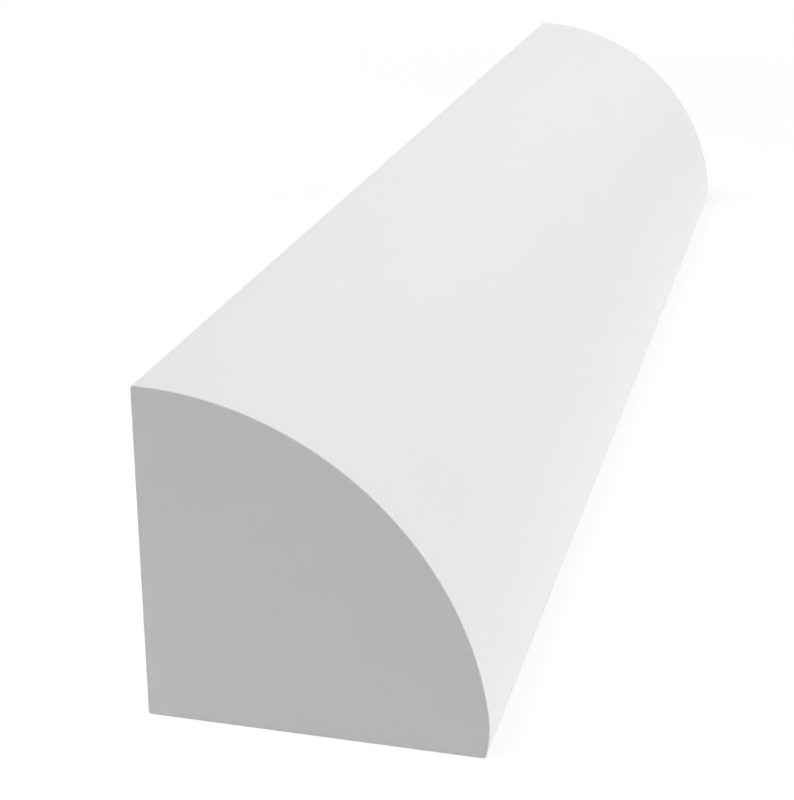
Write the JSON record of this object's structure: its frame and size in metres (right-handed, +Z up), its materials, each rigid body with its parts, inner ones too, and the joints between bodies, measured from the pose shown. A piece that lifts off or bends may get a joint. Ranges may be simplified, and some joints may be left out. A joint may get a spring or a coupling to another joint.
{
  "type": "quarter round moulding",
  "caption": "Straight quarter-circle trim moulding with two square flat legs and a plain convex face that turns under at the toe, sawn square at both ends.",
  "frame": {"origin": "centre of the floor leg, on the floor plane, under the middle of the piece's bounding box", "axes": "+Y along the length from the near sawn end to the far one; +X across the section from the wall leg (-X) to the toe; +Z up from the floor leg"},
  "size_m": [0.019, 0.118, 0.019],
  "materials": {
    "white_pvc": "satin"
  },
  "bodies": {
    "root": {"quarter_round": "white_pvc"}
  },
  "joints": []
}
